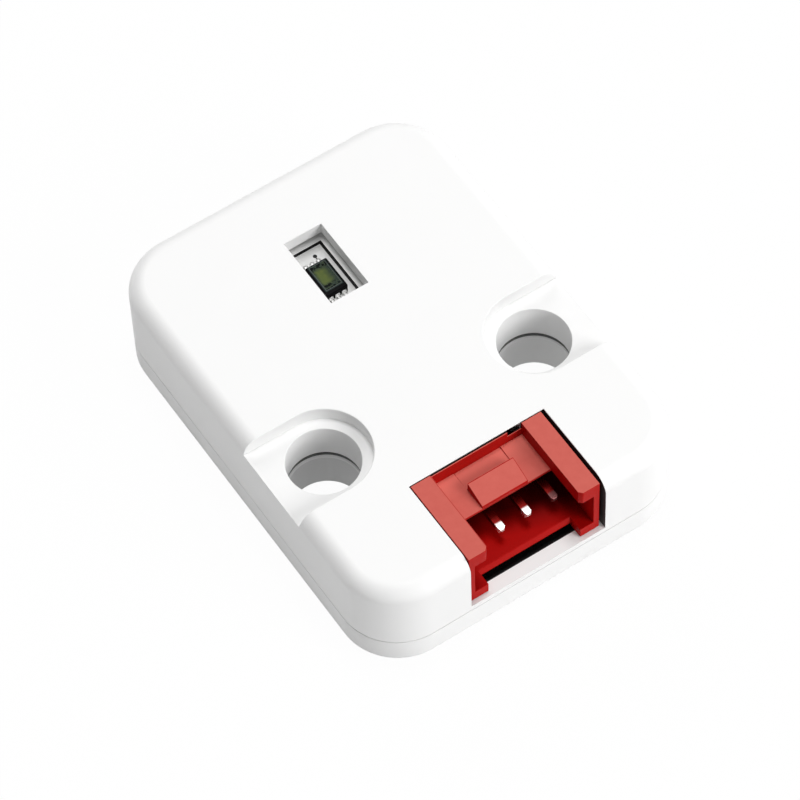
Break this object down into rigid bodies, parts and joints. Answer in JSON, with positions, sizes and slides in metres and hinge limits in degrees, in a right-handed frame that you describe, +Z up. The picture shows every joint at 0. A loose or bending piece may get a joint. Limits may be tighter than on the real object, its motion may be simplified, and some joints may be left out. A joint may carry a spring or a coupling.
{
  "type": "brightness sensor module",
  "caption": "Small rounded plastic case with fixing holes in open pockets, a window over a light sensor on a circuit board, and a side-entry pin socket let into one end.",
  "frame": {"origin": "centre of the footprint on the underside", "axes": "+Z up through the window, +Y along the case away from the socket, X across the two fixing holes"},
  "size_m": [0.0238, 0.0318, 0.0078],
  "materials": {
    "case_plastic": "fine satin moulded white",
    "board_white": "white solder mask with black print",
    "screw_steel": "black oxide",
    "socket_plastic": "red moulded, slightly glossy",
    "pin_metal": "tin plated, bright",
    "solder_metal": "tin plated, soldered",
    "package_black": "moulded black epoxy",
    "lens_green": "clear green filter over the die",
    "capacitor_tan": "ceramic block with tinned ends"
  },
  "bodies": {
    "root": {"top_shell": "case_plastic", "bottom_cover": "case_plastic", "circuit_board": "board_white", "cover_screw": "screw_steel", "socket_housing": "socket_plastic", "socket_pin_1": "pin_metal", "socket_pin_2": "pin_metal", "socket_pin_3": "pin_metal", "socket_pin_4": "pin_metal", "socket_anchor_left": "solder_metal", "socket_anchor_right": "solder_metal", "sensor_body": "package_black", "sensor_lens": "lens_green", "sensor_terminal_1": "solder_metal", "sensor_terminal_2": "solder_metal", "sensor_terminal_3": "solder_metal", "sensor_terminal_4": "solder_metal", "sensor_terminal_5": "solder_metal", "sensor_terminal_6": "solder_metal", "regulator_body": "package_black", "regulator_lead_1": "solder_metal", "regulator_lead_2": "solder_metal", "regulator_lead_3": "solder_metal", "input_capacitor": "capacitor_tan", "output_capacitor": "capacitor_tan", "sensor_capacitor": "capacitor_tan", "data_pull_up": "package_black", "clock_pull_up": "package_black", "address_resistor": "package_black"}
  },
  "joints": []
}
